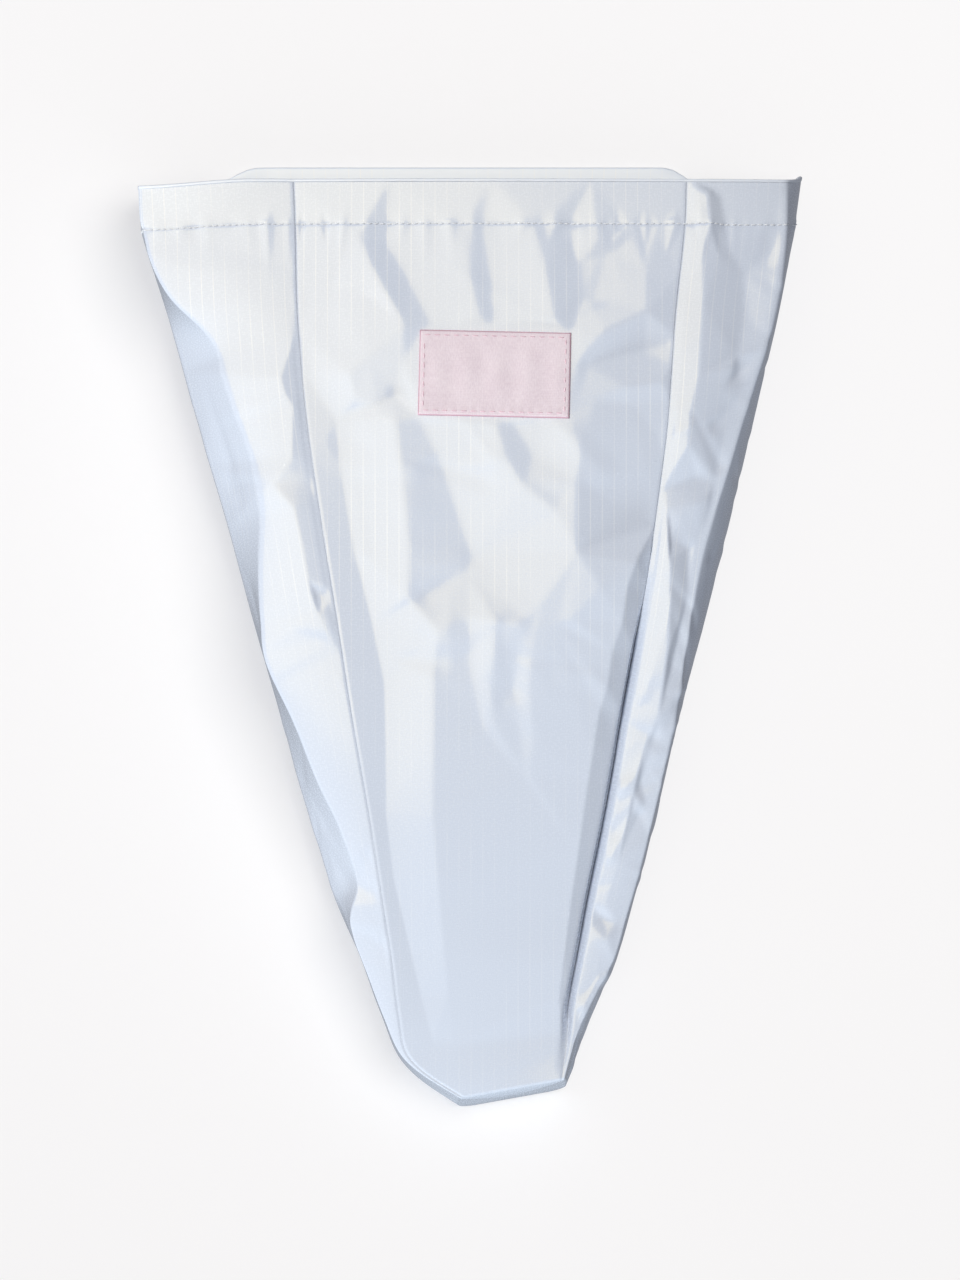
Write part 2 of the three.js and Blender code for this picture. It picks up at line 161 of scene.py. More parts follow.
FRONT_CREASES = [
    Crease("rim", [(-88, 0, 0), (-40, 0, 2.6), (10, 0, 3.2), (60, 0, 1.8), (107, 0, 0)]),
    Crease("valley beside the left seam",
           [(-76, 106, 0), (-66.5, 119, -0.5), (-63, 150, -0.8), (-57.5, 182, -0.9), (-48.5, 220, -1),
            (-42.5, 250, -0.8), (-42, 278, -0.6), (-42, 315.5, -0.6), (-38.5, 346.5, -0.5), (-30, 384, -0.6),
            (-25, 405, -0.4), (-19, 426, 0)]),
    Crease("left side of the wedge",
           [(-37.5, 120, 4.6), (-34, 150, 4.1), (-31, 182, 4.0), (-31.5, 207, 3.6)]),
    Crease("right side and end of the wedge",
           [(-23.5, 121, 3.5), (-12.5, 146, 2.7), (-5, 169, 2.4), (1, 187, 2.7), (-1.5, 195, 3.0),
            (-15, 202, 3.2), (-29, 210, 3.4)]),
    Crease("crest of the left slope",
           [(-16, 224, 5.3), (-19, 246, 4.8), (-19, 278, 4.8), (-19, 315.5, 4.6), (-16.5, 346.5, 4.2),
            (-13.5, 384, 2.6), (-11.5, 405, 1.6), (-8, 428, 0.4)]),
    Crease("edge of the fan",
           [(49.5, 120.5, 5.8), (54, 134, 6.6), (52.5, 150, 7.2), (45, 158.5, 7.2), (43.5, 166.5, 7.8),
            (52.5, 184.5, 9.2), (64.5, 202.5, 9.8), (50.5, 218.5, 9.3), (42.5, 220, 8.8), (28, 218.5, 8.4),
            (16.5, 220, 8.2)]),
    Crease("pocket in the fan, left", [(12, 122, 5.6), (16.5, 137, 6.4), (25.5, 152.5, 6.9)]),
    Crease("pocket in the fan, right", [(21, 122, 4.6), (30, 137, 4.9), (30.5, 150, 6.6)]),
    Crease("left spike, left", [(-0.5, 217, 5.9), (1, 244, 5.2), (6, 269, 5.0), (9, 275, 5.2)]),
    Crease("left spike, right", [(12, 219.5, 8.2), (11, 234, 7.6), (10, 268, 5.9)]),
    Crease("right spike, left", [(14.5, 223, 7.9), (21, 250, 6.6), (27, 297, 5.6)]),
    Crease("right spike, right", [(26, 223, 8.5), (28.5, 250, 7.9), (30.5, 278, 6.7), (29.5, 296, 5.9)]),
    Crease("edge of the right strip",
           [(89, 184, 1.5), (82, 189, 7.6), (77.5, 201.5, 8.4), (75, 220, 7.6), (70, 234, 7.5),
            (67.5, 252, 7.4), (64, 263, 7.2), (58.5, 297, 6.2), (53.5, 334, 5.6), (50, 359, 4.8),
            (46, 391, 3.4), (44, 410, 2.4), (45.5, 430, 0.4)]),
    Crease("hem to label, first ridge", [(-56, 28.5, 3), (-50, 42, 4.4), (-42.5, 56, 5.3), (-32.5, 73, 5.8)]),
    Crease("hem to label, first valley", [(-43, 30, 0.9), (-31.5, 49.5, 1.8), (-18.5, 73, 3.7)]),
    Crease("hem to label, second ridge", [(-3.5, 26, 3), (-0.5, 49.5, 4.4), (5.5, 70, 5.4)]),
    Crease("hem to label, second valley", [(5.5, 26, 2), (10, 52.5, 2.6), (11.5, 73, 4.6)]),
    Crease("hem to label, third ridge", [(32.5, 27, 3.6), (37, 45, 4.9), (41.5, 70, 6.6)]),
    Crease("hem to label, third valley",
           [(46, 26.5, 1.8), (53.5, 42, 1.6), (55, 57.5, 2.6), (50.5, 74, 4.6)]),
    Crease("hollow under the hem", [(62, 31, 2.8), (70, 37, 1.2), (79, 29, 1.2)]),
    Crease("ridge by the right seam", [(93, 31, 0.6), (87, 46.5, 1.6)]),
    Crease("arc beside the left seam", [(-80, 60, 0.3), (-71, 56, 1.2), (-56, 56, 2.9), (-45, 62, 4.1)]),
    Crease("facet left of the label, top", [(-60, 97, 4.2), (-50, 88, 4.9), (-33, 90.5, 4.2)]),
    Crease("facet left of the label, end", [(-57, 109, 2.6), (-47, 113, 2.2), (-37, 108, 2.2)]),
    Crease("label to right seam, ridge",
           [(53.5, 90.5, 5.4), (65.5, 77, 6.0), (86.5, 66.5, 3.8), (98, 54, 1.0)]),
    Crease("label to right seam, valley", [(57, 92.5, 4.4), (85, 86, -0.2), (97.5, 81, -0.3)]),
    Crease("below the label, right", [(52, 108.5, 5.2), (76.5, 103, 4.2), (94, 100.8, 1.8)]),
    Crease("notch at the right seam", [(62, 110.5, 4.8), (79, 112, 2.6), (92, 127, 0.4)]),
    Crease("lower notch at the right seam", [(93, 131.5, 0.3), (86.5, 144, 1.8), (91, 158, 0.4)]),
    Crease("label",
           [(-25.5, 76.5, 4.4), (49, 76.5, 5.2), (49, 118.5, 5.6), (-25.5, 118.5, 4.2),
            (-25.5, 77, 4.4)]),
]

# Creases of the two sides. Here a lift is a height above the smooth side.
LEFT_CREASES = [
    Crease("ridge beside the front seam",
           [(-86.5, 78, 0.5), (-93.5, 99, 3.2), (-91.5, 106.5, 2.8), (-87.5, 113, 2.1), (-88, 138, 2.6),
            (-97, 151, 4.2), (-87, 163, 3.2), (-83.5, 179, 2.8), (-80, 199, 2.4), (-75, 215, 1.6),
            (-70, 228, 0.6)]),
    Crease("pinch at the front seam", [(-76.5, 206, 0.3), (-73.5, 208.5, -0.3), (-70.5, 210, 0.2)]),
    Crease("hollow under the hem", [(-138, 28, -1.4), (-146, 42, 0.2)]),
    Crease("low crease", [(-70, 346, -0.2), (-57, 351, -1.2), (-46, 354, -0.5)]),
]
RIGHT_CREASES = [
    Crease("ridge beside the front seam",
           [(113, 4, 1.8), (114.5, 30, 2.2), (114.5, 63, 2.4), (112.5, 97, 2.6), (107.5, 118, 2.8),
            (107, 132, 3.0), (97.5, 149, 0.6)]),
    Crease("lower ridge beside the front seam",
           [(97, 163, 1.4), (98.5, 189, 3.2), (98.5, 209, 3.2), (97.5, 234, 3.2), (93.5, 265.5, 2.8),
            (86, 283, 1.4), (81, 304, 1.8), (74, 338, 1.2), (67, 362, 0.6)]),
    Crease("outer ridge",
           [(157, 4, 0.2), (156, 30, 0.9), (151.5, 60, 1.0), (145.5, 84, 0.2), (135, 103, -0.4),
            (126, 125, -0.8), (121, 150, -1.0), (114, 176, -0.6), (108, 205, -0.6), (100, 240, -0.4)]),
    Crease("valley in the upper half",
           [(122, 30, 0.2), (128.7, 37.2, -1.2), (135.7, 47.2, -2.4), (136.2, 64.6, -2.6), (133.5, 82, -1.4),
            (131.5, 88, -0.4)]),
    Crease("valley under the hem's end", [(148.5, 25, -1.2), (149.5, 36, -1.8), (147, 46, -1.0)]),
    Crease("fold at the hem", [(117, 6, 2.6), (118.5, 24, 2.4), (123, 40, 1.0)]),
    Crease("hollow at the hem", [(124, 8, -1.2), (126, 22, -1.6), (126.5, 32, -1.0)]),
    Crease("crumple in the upper half", [(126, 103, 0.8), (130, 92, 1.2), (133, 96, -1.8)]),
    Crease("upper crease", [(99, 153, -0.4), (112, 150, -1.4), (119, 157, 0.2)]),
    Crease("upper wedge", [(103, 168, 1.4), (113, 160, 1.2)]),
    Crease("middle crease", [(99, 181, 0.2), (108, 183, -1.4), (111.5, 180, -0.6)]),
    Crease("facet in the lower half", [(95, 271, 1.6), (90, 280, 0.4), (84, 301, -0.4)]),
    Crease("lower crease", [(80.5, 313, 0.6), (84, 315, -1.0), (88, 313, -0.2)]),
    Crease("crumple above the base", [(60, 371, 0.2), (66, 369, -1.2), (73, 371, -0.2)]),
    Crease("crumple above the base, lower", [(60, 379, 0.4), (68, 378, 1.0), (73, 376, 0.2)]),
]

# How the cloth is cut into facets: corners along each edge, and the least sizes that count
EDGE_CORNERS = 30
CORNER_GAP = 0.001
LEAST_FACET = 1e-6

# A small fold follows a straight path from one place (x, along) of the flat cloth to another. left and
# right are the widths of its two slopes. start and end scale the fold at the two ends of its path.
Fold = namedtuple("Fold", "path left right height start end")

# Small random creases: how many a panel has, where they lie, and the ranges of their sizes
CRUMPLES = {"front": 36, "left": 46, "right": 110, "back": 20}
CRUMPLES_START = 30
CRUMPLES_END = {"front": 260, "left": 440, "right": 440, "back": 440}
CRUMPLE_LENGTHS = (14, 46)
CRUMPLE_WIDTHS = {"front": (5, 15), "left": (5, 15), "right": (3, 8), "back": (5, 15)}
CRUMPLE_HEIGHTS = (0.2, 0.6)
CRUMPLE_SCALES = {"front": 1.0, "left": 1.0, "right": 1.5, "back": 1.0}
CRUMPLE_TIP = 0.2
SEEDS = {"front": 11, "left": 23, "right": 37, "back": 53}

# Gathers at the hem's stitching, each a fold below it and a smaller one above
PUCKER_FIRST = (2, 6)
PUCKER_STEPS = (5, 13)
PUCKER_HEIGHTS = (0.3, 1.0)
PUCKER_WIDTHS = (2.2, 4.5)
PUCKER_LENGTHS_BELOW = (9, 30)
PUCKER_LENGTHS_ABOVE = (4, 9)
PUCKER_LEANS_BELOW = (-5, 5)
PUCKER_LEANS_ABOVE = (-2, 2)
PUCKER_SHARE_ABOVE = 0.8
PUCKER_GAP = 1
PUCKER_TIP = 0.1

# Columns and rows of the cloth meshes, and which way each panel's grid faces
PANELS = ("front", "left", "right", "back")
COLUMNS = {"front": 150, "left": 116, "right": 110, "back": 40}
COLUMN_PULL = 0.5
STITCHING_BAND = (20, 26)
ROW_COUNTS = (12, 10, 286)
FACING = {"front": -1, "left": 1, "right": -1, "back": 1}

# The panel, and its place across, that meets each panel's two edges
SEAM_PARTNERS = {
    "front": (("left", 0), ("right", 0)),
    "left": (("front", 0), ("back", 0)),
    "right": (("front", 1), ("back", 1)),
    "back": (("left", 1), ("right", 1)),
}
SEAM_STEP = 0.02


def smoothstep(value, low, high):
    t = np.clip((value - low) / (high - low), 0, 1)
    return t * t * (3 - 2 * t)


def lerp(a, b, t):
    return a + (b - a) * t


def unit(vectors):
    return vectors / np.linalg.norm(vectors, axis=-1, keepdims=True)


def travelled(points):
    """How far along a line of points each of them lies."""
    return np.concatenate([[0], np.cumsum(np.linalg.norm(np.diff(points, axis=0), axis=-1))])


def bezier(a, b, c, d, t):
    s = 1 - t
    return s**3 * a + 3 * s * s * t * b + 3 * s * t * t * c + t**3 * d


def smooth_column(x, y, along):
    """A column of a table at any distance from the rim, smoothed through its rows."""
    slope = np.empty_like(y)
    slope[1:-1] = (y[2:] - y[:-2]) / (x[2:] - x[:-2])
    slope[0] = (y[1] - y[0]) / (x[1] - x[0])
    slope[-1] = (y[-1] - y[-2]) / (x[-1] - x[-2])
    place = np.clip(along, 0, LENGTH)
    i = np.clip(np.searchsorted(x, place, side="right") - 1, 0, len(x) - 2)
    step = x[i + 1] - x[i]
    t = (place - x[i]) / step
    bend = slope[i] * (1 - t) - slope[i + 1] * t
    straight = (y[i + 1] - y[i]) / step
    return lerp(y[i], y[i + 1], t) + t * (1 - t) * step * (bend - straight * (1 - 2 * t))


def section_at(along):
    """Every named measure of both tables at a distance from the rim."""
    section = {}
    for names, table in ((SECTION_COLUMNS, SECTIONS), (RIDGE_COLUMNS, RIDGES)):
        for name, column in zip(names[1:], table.T[1:]):
            section[name] = smooth_column(table[:, 0], column, along)
    return section


def back_seam(side, section):
    seam = section[side + "_seam"]
    edge = section[side + "_edge"]
    tuck = np.maximum(np.abs(seam - edge) * BACK_SEAM_SHARE, BACK_TUCK)
    return edge + tuck * np.sign(seam - edge)


def facets(creases, low_edge, high_edge):
    """Triangles (x, along, lift) of the flat cloth between creases and two edges of the bag."""
    corners = []
    edges = []
    for crease in creases:
        first = len(corners)
        corners += crease.corners
        edges += [(i, i + 1) for i in range(first, len(corners) - 1)]
    for along in np.linspace(0, LENGTH, EDGE_CORNERS):
        section = section_at(along)
        corners += [(section[low_edge], along, 0), (section[high_edge], along, 0)]
    flat = [Vector(corner[:2]) for corner in corners]
    faces, origins = delaunay_2d_cdt(flat, edges, [], 0, CORNER_GAP)[2:4]
    return np.array([[corners[origins[i][0]] for i in face] for face in faces])


PANEL_FACETS = {
    "front": facets(FRONT_CREASES, "left_seam", "right_seam"),
    "left": facets(LEFT_CREASES, "left_edge", "left_seam"),
    "right": facets(RIGHT_CREASES, "right_seam", "right_edge"),
}


def crease_lift(panel, x, along):
    """How far the creased facets of a panel lie above its smooth form."""
    lift = np.zeros_like(x)
    for a, b, c in PANEL_FACETS[panel]:
        to_b = b - a
        to_c = c - a
        turn = to_b[0] * to_c[1] - to_b[1] * to_c[0]
        if abs(turn) < LEAST_FACET:
            continue
        u = ((x - a[0]) * to_c[1] - (along - a[1]) * to_c[0]) / turn
        v = (to_b[0] * (along - a[1]) - to_b[1] * (x - a[0])) / turn
        inside = (u >= 0) & (v >= 0) & (u + v <= 1)
        lift = np.where(inside, a[2] + u * to_b[2] + v * to_c[2], lift)
    return lift


def front_section(across, along, section):
    x = lerp(section["left_seam"], section["right_seam"], across)
    return x, lerp(section["left_rise"], section["right_rise"], across) + crease_lift("front", x, along)


def side_section(side, across, section):
    """A side from its front seam, at 0, over its ridge and widest edge to its back seam, at 1."""
    seam = section[side + "_seam"]
    edge = section[side + "_edge"]
    rise = section[side + "_rise"]
    low = section["edge_rise"]
    under = back_seam(side, section)
    ridge_x = lerp(seam, edge, section[side + "_share"])
    ridge_z = rise - section[side + "_fall"]
    t = np.clip(across / RIDGE_PLACE, 0, 1)
    upper_x = lerp(seam, ridge_x, t)
    upper_z = lerp(rise, ridge_z, t) + FACET_SWELL_SHARE * np.abs(ridge_x - seam) * t * (1 - t)
    t = np.clip((across - RIDGE_PLACE) / (EDGE_PLACE - RIDGE_PLACE), 0, 1)
    bowed_x = bezier(ridge_x, *(lerp(ridge_x, edge, pull) for pull in STEEP_PULLS_OUT), edge, t)
    bowed_z = bezier(ridge_z, *(lerp(ridge_z, low, pull) for pull in STEEP_PULLS_DOWN), low, t)
    steep_x = lerp(lerp(ridge_x, edge, t), bowed_x, STEEP_BOW[side])
    steep_z = lerp(lerp(ridge_z, low, t), bowed_z, STEEP_BOW[side])
    t = np.clip((across - EDGE_PLACE) / (1 - EDGE_PLACE), 0, 1)
    lower_x = bezier(edge, edge, lerp(under, edge, UNDER_PULL), under, t)
    lower_z = bezier(low, low * (1 - EDGE_PULL), 0, 0, t)
    zones = [across < RIDGE_PLACE, across < EDGE_PLACE]
    return np.select(zones, [upper_x, steep_x], lower_x), np.select(zones, [upper_z, steep_z], lower_z)


def smooth_panel(panel, across, along):
    """Places on a panel before its small folds, and a side's creases, are made."""
    section = section_at(along)
    if panel == "front":
        x, z = front_section(across, along, section)
    elif panel == "back":
        x = lerp(back_seam("left", section), back_seam("right", section), across)
        z = np.zeros_like(x)
    else:
        x, z = side_section(panel, across, section)
    mouth = 1 - smoothstep(along, 0, RIM_REACH)
    base = 1 - smoothstep(LENGTH - along, 0, BASE_REACH)
    right_end = np.maximum(smoothstep(x, *RIM_RIGHT_END), smoothstep(z, *RIM_RIGHT_HEIGHTS))
    overhang = RIM_OVERHANG * (1 - z / RIM_HEIGHT) ** 2 * smoothstep(x, *RIM_LEFT_END) * right_end
    overhang = overhang - RIM_LEFT_DIP * smoothstep(x, *RIM_DIP_REACH)
    slant = BASE_LEAN * (z - BASE_HEIGHT) + BASE_SKEW * (x - BASE_MIDDLE)
    y = BAG_Y + mouth * overhang + base * slant - along
    return np.stack([x, y, z], axis=-1)


def fold_lift(folds, x, along):
    """How far small folds lift or lower the cloth at each place."""
    lift = np.zeros_like(x)
    for fold in folds:
        start, end = np.array(fold.path, float)
        leg_x, leg_along = end - start
        t = ((x - start[0]) * leg_x + (along - start[1]) * leg_along) / (leg_x**2 + leg_along**2)
        t = np.clip(t, 0, 1)
        off_x = x - start[0] - t * leg_x
        off_along = along - start[1] - t * leg_along
        on_right = off_x * leg_along - off_along * leg_x > 0
        size = lerp(fold.start, fold.end, t)
        reach = np.where(on_right, fold.right, fold.left) * size
        lift += fold.height * size * np.clip(1 - np.hypot(off_x, off_along) / reach, 0, 1)
    return lift


def random_creases(panel, width):
    """Small creases scattered over a panel that is laid out flat."""
    rng = np.random.default_rng(SEEDS[panel])
    creases = []
    for _ in range(CRUMPLES[panel]):
        along = rng.uniform(CRUMPLES_START, CRUMPLES_END[panel])
        x = rng.uniform(0, 1) * np.interp(along, (0, LENGTH), width)
        angle = rng.uniform(0, math.pi)
        length = rng.uniform(*CRUMPLE_LENGTHS)
        end = (x + length * math.cos(angle), along + length * math.sin(angle))
        slopes = rng.uniform(*CRUMPLE_WIDTHS[panel], 2)
        height = rng.uniform(*CRUMPLE_HEIGHTS) * rng.choice((-1, 1)) * CRUMPLE_SCALES[panel]
        creases.append(Fold([(x, along), end], slopes[0], slopes[1], height, CRUMPLE_TIP, 1))
    return creases


def hem_puckers(panel, width):
    """Little gathers on both sides of the hem's stitching."""
    rng = np.random.default_rng(SEEDS[panel] + 1)
    puckers = []
    x = rng.uniform(*PUCKER_FIRST)
    while x < width:
        height = rng.uniform(*PUCKER_HEIGHTS) * rng.choice((-1, 1))
        wide = rng.uniform(*PUCKER_WIDTHS)
        below = (x + rng.uniform(*PUCKER_LEANS_BELOW), HEM_LINE + rng.uniform(*PUCKER_LENGTHS_BELOW))
        above = (x + rng.uniform(*PUCKER_LEANS_ABOVE), HEM_LINE - rng.uniform(*PUCKER_LENGTHS_ABOVE))
        path_below = [(x, HEM_LINE + PUCKER_GAP), below]
        path_above = [above, (x, HEM_LINE - PUCKER_GAP)]
        puckers.append(Fold(path_below, wide, wide, height, 1, PUCKER_TIP))
        puckers.append(Fold(path_above, wide, wide, height * PUCKER_SHARE_ABOVE, PUCKER_TIP, 1))
        x += rng.uniform(*PUCKER_STEPS)
    return puckers


def blurred(values):
    """Rounds creases off over a neighbour each way."""
    padded = np.pad(values, 1, mode="edge")
    rows = (padded[:-2] + 2 * padded[1:-1] + padded[2:]) / 4
    return (rows[:, :-2] + 2 * rows[:, 1:-1] + rows[:, 2:]) / 4


def label_calm(x, along):
    """0 under the label, which holds the cloth flat, and 1 away from it."""
    outside_x = np.abs(x - LABEL_X) - LABEL_WIDTH / 2
    outside_along = np.abs(along - LABEL_ALONG) - LABEL_HEIGHT / 2
    return smoothstep(np.maximum(outside_x, outside_along), *LABEL_CALM)


def grid_normals(points, facing):
    """Directions out of the bag at each point of a grid."""
    down, round_bag = np.gradient(points, axis=(0, 1))
    return unit(np.cross(round_bag, down) * facing)


def closer_at_ends(count, pull):
    """Shares from 0 to 1, closer together near both ends."""
    t = np.linspace(0, 1, count + 1)
    return t - pull * np.sin(2 * math.pi * t) / (2 * math.pi)


def edge_normals(panel, end, along):
    """Directions out of the smooth bag along one edge of a panel."""
    inward = SEAM_STEP if end == 0 else -SEAM_STEP
    pair = np.sort(np.array([end, end + inward]))
    place, rows = np.meshgrid(pair, along)
    return grid_normals(smooth_panel(panel, place, rows), FACING[panel])[:, 0]


def seam_normals(panel, place, along):
    """Directions shared by the two panels at the nearer seam of each place."""
    rows = along[:, 0]
    shared = []
    for end, (partner, partner_end) in enumerate(SEAM_PARTNERS[panel]):
        shared.append(unit(edge_normals(panel, end, rows) + edge_normals(partner, partner_end, rows)))
    return np.where((place < 0.5)[..., None], shared[0][:, None], shared[1][:, None])


def panel_folds(panel, place, along, x, unrolled):
    """Creases, crumples and gathers of a panel, as heights above its smooth form."""
    width = unrolled[:, -1]
    folds = np.zeros_like(x)
    if panel in ("left", "right"):
        fading = smoothstep(place, EDGE_PLACE - FOLDS_FADE, EDGE_PLACE + FOLDS_FADE)
        folds = crease_lift(panel, x, along) * (1 - fading)
    folds += fold_lift(random_creases(panel, (width[0], width[-1])), unrolled, along)
    folds += fold_lift(hem_puckers(panel, width[0]), unrolled, along)
    if panel == "front":
        folds *= label_calm(x, along)
    if panel == "back":
        folds = np.minimum(folds, 0)
    return folds


def seam_depth(panel, place, along, to_seam):
    """How far the cloth is drawn in at its seams and at the hem's stitching."""
    depth = SEAM_TURN * np.exp(-((to_seam / SEAM_TURN_WIDTH) ** 2))
    if panel in DEEP_SEAM_SIDE:
        deep = smoothstep(along, *DEEP_SEAM_STARTS) * smoothstep(LENGTH - along, 0, DEEP_SEAM_END)
        on_side = place > 0.5 if DEEP_SEAM_SIDE[panel] else place < 0.5
        depth += DEEP_SEAM * deep * on_side * np.exp(-((to_seam / DEEP_SEAM_WIDTHS[panel]) ** 2))
    return depth + GROOVE_DEPTH * np.exp(-(((along - HEM_LINE) / GROOVE_WIDTH) ** 2))


Cloth = namedtuple("Cloth", "across along points normals unrolled flat_area")


def cloth_panel(panel, rows):
    """The folded outer face of a panel, as a grid of points in millimetres."""
    across = closer_at_ends(COLUMNS[panel], COLUMN_PULL)
    place, along = np.meshgrid(across, rows)
    smooth = smooth_panel(panel, place, along)
    if panel == "front":
        smooth[1:-1, 1:-1, 2] = blurred(smooth[..., 2])[1:-1, 1:-1]
    steps = np.linalg.norm(np.diff(smooth, axis=1), axis=-1)
    unrolled = np.concatenate([np.zeros((len(rows), 1)), np.cumsum(steps, axis=1)], axis=1)
    to_seam = np.minimum(unrolled, unrolled[:, -1:] - unrolled)
    calm_seam = smoothstep(to_seam, 0, SEAM_CALM)
    calm = calm_seam * smoothstep(LENGTH - along, 0, END_CALM)
    folds = panel_folds(panel, place, along, smooth[..., 0], unrolled)
    lift = blurred(folds * calm) - seam_depth(panel, place, along, to_seam)
    own = grid_normals(smooth, FACING[panel])
    out = unit(lerp(seam_normals(panel, place, along), own, calm_seam[..., None]))
    points = smooth + out * lift[..., None]
    points[..., 2] = np.maximum(points[..., 2], 0)
    flat_area = np.sum(steps[:-1] * np.diff(rows)[:, None])
    return Cloth(across, rows, points, grid_normals(points, FACING[panel]), unrolled, flat_area)


def at(cloth, across, along):
    """Places and directions on a finished panel, read between its grid points."""
    i = np.interp(across, cloth.across, np.arange(len(cloth.across)))
    j = np.interp(along, cloth.along, np.arange(len(cloth.along)))
    i0 = np.minimum(i.astype(int), len(cloth.across) - 2)
    j0 = np.minimum(j.astype(int), len(cloth.along) - 2)
    s = (i - i0)[..., None]
    t = (j - j0)[..., None]

    def between(grid):
        top = lerp(grid[j0, i0], grid[j0, i0 + 1], s)
        return lerp(top, lerp(grid[j0 + 1, i0], grid[j0 + 1, i0 + 1], s), t)

    return between(cloth.points), unit(between(cloth.normals))


def new_mesh(name, points, faces, material, uv=None):
    """A smooth-shaded mesh from points in millimetres. uv gives each point's place in flat cloth."""
    mesh = bpy.data.meshes.new(name)
    mesh.from_pydata((points * MM).tolist(), [], faces)
    mesh.polygons.foreach_set("use_smooth", [True] * len(mesh.polygons))
    if uv is not None:
        corners = np.empty(len(mesh.loops), dtype=np.int32)
        mesh.loops.foreach_get("vertex_index", corners)
        layer = mesh.uv_layers.new(name="flat_cloth")
        layer.data.foreach_set("uv", (uv[corners] * MM).astype(np.float32).ravel())
    mesh.materials.append(material)
    mesh.update()
    piece = bpy.data.objects.new(name, mesh)
    bpy.context.scene.collection.objects.link(piece)
    return piece


def wall(name, outer, inner, facing, material, uv):
    """A closed sheet between an outer and an inner grid of points."""
    rows, columns = outer.shape[:2]
    count = rows * columns
    index = np.arange(count).reshape(rows, columns)
    quads = np.stack([index[:-1, :-1], index[:-1, 1:], index[1:, 1:], index[1:, :-1]], axis=-1)
    quads = quads.reshape(-1, 4)
    ring = np.concatenate([index[0, :-1], index[:-1, -1], index[-1, :0:-1], index[:0:-1, 0]])
    following = np.roll(ring, -1)
    edges = np.stack([following, ring, ring + count, following + count], axis=-1)
    if facing < 0:
        quads = quads[:, ::-1]
        edges = edges[:, ::-1]
    faces = np.concatenate([quads, quads[:, ::-1] + count, edges])
    points = np.concatenate([outer.reshape(-1, 3), inner.reshape(-1, 3)])
    return new_mesh(name, points, faces.tolist(), material, np.concatenate([uv, uv]))


# Ripstop: its grid of thicker threads, which shows less towards the base, its weave and its coating
GRID_PITCH = 5.9 * MM
GRID_WIDTHS = (0.12 * MM, 0.42 * MM)
GRID_FADES = (170 * MM, 270 * MM)
GRID_FAINT = 0.35
GRID_SHARES = (0.05, 0.7)
WEFT_SHARE = 0.12
WEAVE_SCALES = (1500, 420)
CLOUD_SCALES = (22, 14)
CLOUD_RANGE = (0.35, 0.65)
GRAIN_RANGE = (0.6, 1.4)
GRAIN_TONES = (-0.015, 0.015)
GRAIN_ROUGHNESS = (-0.03, 0.04)
THREAD_HEIGHT = 0.5
WEAVE_BUMP = {"Strength": 0.07, "Distance": 0.12 * MM}
HEM_BLEND_WIDTH = 0.4
HEM_BLEND = (HEM_LINE * MM, (HEM_LINE + HEM_BLEND_WIDTH) * MM)
CLOTH_SPECULAR = 0.7
COAT_WEIGHT = 0.8
COAT_ROUGHNESS = 0.15

# Label: a fine rib, soft unevenness and a darker rim
LABEL_RIB = 0.4 * MM
LABEL_WEAVE_SCALES = (1500, 500)
LABEL_CLOUD_SCALES = (90, 60)
LABEL_NOISE_RANGE = (0.3, 0.7)
LABEL_WEAVE_TONES = (0, 0.6)
LABEL_CLOUD_TONES = (0, 0.4)
LABEL_BUMP = {"Strength": 0.35, "Distance": 0.15 * MM}
LABEL_ROUGHNESS = 0.72

# Sewing thread
TWIST_SCALE = 1800.0
TWIST_SHADE = 0.82
THREAD_ROUGHNESS = 0.55

# Noise has this many finer layers
NOISE_DETAIL = 2.0

# Colours
PLAIN_CLOTH = (0.69, 0.74, 0.84)
DOUBLED_CLOTH = (0.72, 0.765, 0.85)
GRID_THREAD = (0.86, 0.88, 0.92)
# The hem is whiter doubled cloth, lightened further with painted light so that the shaded inside of the back
# rim looks lit
HEM_WHITE_AND_PAINTED_LIGHT = (0.86, 0.905, 0.98)
HEM_GRID_THREAD = (0.90, 0.92, 0.95)
LABEL_DARK = (0.76, 0.64, 0.70)
LABEL_LIGHT = (0.87, 0.76, 0.81)
LABEL_RIM_COLOUR = (0.60, 0.33, 0.42)
WHITE_THREAD = (0.86, 0.88, 0.92)
PINK_THREAD = (0.86, 0.62, 0.69)


def new_material(name):
    material = bpy.data.materials.new(name)
    material.use_nodes = True
    tree = material.node_tree
    return material, tree, tree.nodes["Principled BSDF"]


def joined(tree, kind, inputs=(), **settings):
    """A new node with its settings, and each input linked to a socket or set to a value."""
    node = tree.nodes.new(kind)
    for name, value in settings.items():
        setattr(node, name, value)
    for key, value in dict(inputs).items():
        if isinstance(value, bpy.types.NodeSocket):
            tree.links.new(value, node.inputs[key])
        else:
            node.inputs[key].default_value = value
    return node


def calculate(tree, operation, a, b=0.0):
    return joined(tree, "ShaderNodeMath", {0: a, 1: b}, operation=operation).outputs[0]


def mapped(tree, value, source, target):
    """A value taken smoothly from one range to another."""
    inputs = {
        "Value": value,
        "From Min": source[0], "From Max": source[1],
        "To Min": target[0], "To Max": target[1],
    }
    node = joined(tree, "ShaderNodeMapRange", inputs, interpolation_type="SMOOTHSTEP")
    return node.outputs["Result"]


def blended(tree, factor, a, b):
    """A colour between two, of which either may come from another node."""
    mix = joined(tree, "ShaderNodeMix", {"Factor": factor, "A": a, "B": b}, data_type="RGBA")
    return mix.outputs["Result"]


def flat_cloth(tree):
    """The two ways across flat cloth, in metres."""
    flat = joined(tree, "ShaderNodeUVMap", uv_map="flat_cloth")
    place = joined(tree, "ShaderNodeSeparateXYZ", {0: flat.outputs[0]})
    return place.outputs["X"], place.outputs["Y"]


